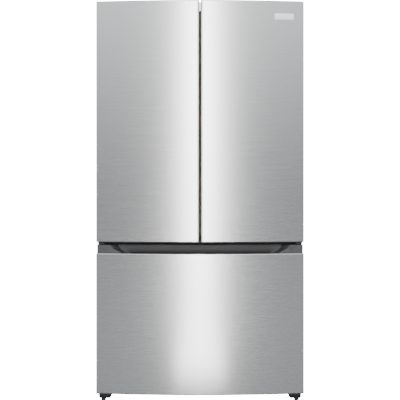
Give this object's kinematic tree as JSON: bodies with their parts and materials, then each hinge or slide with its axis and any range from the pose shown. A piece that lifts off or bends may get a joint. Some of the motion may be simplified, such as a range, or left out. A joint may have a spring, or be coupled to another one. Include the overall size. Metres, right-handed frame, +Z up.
{
  "type": "french door refrigerator",
  "caption": "French door refrigerator: two crowned stainless doors with bins over a crowned bottom freezer drawer with a scooped grip.",
  "frame": {"origin": "on the floor, under the centre of the overall box", "axes": "+Z up, doors and drawer face -Y, +X to the right as seen from the front"},
  "size_m": [0.905, 0.727, 1.775],
  "materials": {
    "door_steel": "satin brushed",
    "case_paint": "fine textured grey paint",
    "grey_plastic": "matte dark grey",
    "black_metal": "black paint",
    "black_plastic": "matte black",
    "hinge_metal": "dark grey paint",
    "zinc_steel": "zinc plated",
    "liner_white": "semi-gloss white",
    "white_plastic": "semi-gloss white",
    "badge_white": "satin white",
    "foam": "cut foam",
    "gasket": "soft matte",
    "clear_plastic": "clear moulded",
    "pane": "clear glass",
    "lens": "frosted",
    "coil": "bare aluminium"
  },
  "bodies": {
    "cabinet": {"outer_case": "case_paint", "back_panel": "zinc_steel", "base_frame": "black_metal", "case_insulation": "foam", "fresh_food_liner": "liner_white", "freezer_liner": "liner_white", "center_rail": "case_paint", "hinge_plates": "hinge_metal", "hinge_covers": "grey_plastic", "case_screws": "zinc_steel", "leg_brackets": "black_metal", "roller_brackets": "zinc_steel", "control_housing": "white_plastic", "light_lens": "lens", "shelf_tracks": "zinc_steel", "shelf_frames": "zinc_steel", "shelf_glass": "pane", "crisper_cover": "white_plastic", "air_duct_cover": "white_plastic", "evaporator_cover": "white_plastic", "evaporator_coil": "coil", "compressor": "black_metal", "condenser_coil": "black_metal", "rear_cover": "zinc_steel", "slide_rails": "zinc_steel", "fan_motors": "black_plastic"},
    "left_door": {"left_door_skin": "door_steel", "left_door_liner": "liner_white", "left_door_insulation": "foam", "left_door_caps": "grey_plastic", "left_door_gasket": "gasket", "left_door_bins": "clear_plastic"},
    "right_door": {"right_door_skin": "door_steel", "right_door_liner": "liner_white", "right_door_insulation": "foam", "right_door_caps": "grey_plastic", "right_door_gasket": "gasket", "right_door_bins": "clear_plastic", "badge_plate": "badge_white"},
    "mullion": {"mullion_bar": "black_plastic"},
    "drawer": {"drawer_skin": "door_steel", "drawer_end_caps": "grey_plastic", "drawer_liner": "liner_white", "drawer_insulation": "foam", "drawer_gasket": "gasket", "drawer_frame": "zinc_steel", "lower_basket": "white_plastic"},
    "top_basket": {"upper_basket": "white_plastic"},
    "middle_slides": {"slide_middles": "zinc_steel"},
    "crisper_left": {"left_crisper": "clear_plastic"},
    "crisper_right": {"right_crisper": "clear_plastic"},
    "fan_condenser": {"condenser_fan": "black_plastic"},
    "fan_evaporator": {"evaporator_fan": "black_plastic"},
    "damper": {"damper_flap": "grey_plastic"},
    "roller_left": {"left_roller": "black_plastic"},
    "roller_right": {"right_roller": "black_plastic"},
    "foot_left": {"left_foot": "black_plastic"},
    "foot_right": {"right_foot": "black_plastic"},
    "button_light": {"light_button": "grey_plastic"},
    "button_cooling": {"cooling_button": "grey_plastic"}
  },
  "joints": [
    {"name": "left_door_hinge", "type": "hinge", "parent": "cabinet", "child": "left_door", "pos_m": [-0.43, -0.3, 0.735], "axis": [0, 0, -1], "range_deg": [0, 120]},
    {"name": "right_door_hinge", "type": "hinge", "parent": "cabinet", "child": "right_door", "pos_m": [0.43, -0.3, 0.735], "axis": [0, 0, 1], "range_deg": [0, 120]},
    {"name": "mullion_flip", "type": "hinge", "parent": "left_door", "child": "mullion", "pos_m": [-0.04, -0.243, 0.792], "axis": [0, 0, -1], "range_deg": [0, 90]},
    {"name": "drawer_slide", "type": "slide", "parent": "cabinet", "child": "drawer", "axis": [0, -1, 0], "range_m": [0, 0.45]},
    {"name": "slide_middle_travel", "type": "slide", "parent": "cabinet", "child": "middle_slides", "axis": [0, -1, 0], "range_m": [0, 0.225]},
    {"name": "upper_basket_slide", "type": "slide", "parent": "drawer", "child": "top_basket", "axis": [0, 1, 0], "range_m": [0, 0.2]},
    {"name": "left_crisper_slide", "type": "slide", "parent": "cabinet", "child": "crisper_left", "axis": [0, -1, 0], "range_m": [0, 0.15]},
    {"name": "right_crisper_slide", "type": "slide", "parent": "cabinet", "child": "crisper_right", "axis": [0, -1, 0], "range_m": [0, 0.15]},
    {"name": "condenser_fan_spin", "type": "hinge", "parent": "cabinet", "child": "fan_condenser", "pos_m": [-0.044, 0.252, 0.144], "axis": [1, 0, 0], "continuous": true},
    {"name": "evaporator_fan_spin", "type": "hinge", "parent": "cabinet", "child": "fan_evaporator", "pos_m": [0, 0.262, 0.568], "axis": [0, 1, 0], "continuous": true},
    {"name": "damper_hinge", "type": "hinge", "parent": "cabinet", "child": "damper", "pos_m": [0, 0.271, 1.585], "axis": [-1, 0, 0], "range_deg": [0, 55]},
    {"name": "left_roller_spin", "type": "hinge", "parent": "cabinet", "child": "roller_left", "pos_m": [-0.43, 0.32, 0.025], "axis": [1, 0, 0], "continuous": true},
    {"name": "right_roller_spin", "type": "hinge", "parent": "cabinet", "child": "roller_right", "pos_m": [0.43, 0.32, 0.025], "axis": [1, 0, 0], "continuous": true},
    {"name": "left_foot_screw", "type": "hinge", "parent": "cabinet", "child": "foot_left", "pos_m": [-0.43, -0.239, 0.01], "axis": [0, 0, 1], "continuous": true},
    {"name": "right_foot_screw", "type": "hinge", "parent": "cabinet", "child": "foot_right", "pos_m": [0.43, -0.239, 0.01], "axis": [0, 0, 1], "continuous": true},
    {"name": "light_button_press", "type": "slide", "parent": "cabinet", "child": "button_light", "axis": [0, 1, 0], "range_m": [0, 0.0012], "stiffness_N_per_m": 900},
    {"name": "cooling_button_press", "type": "slide", "parent": "cabinet", "child": "button_cooling", "axis": [0, 1, 0], "range_m": [0, 0.0012], "stiffness_N_per_m": 900}
  ],
  "couplings": [
    {"joint": "slide_middle_travel", "follows": "drawer_slide", "ratio": 0.5},
    {"joint": "left_crisper_slide", "follows": "left_door_hinge", "m_per_rad": 0.0716},
    {"joint": "right_crisper_slide", "follows": "right_door_hinge", "m_per_rad": 0.0716}
  ]
}
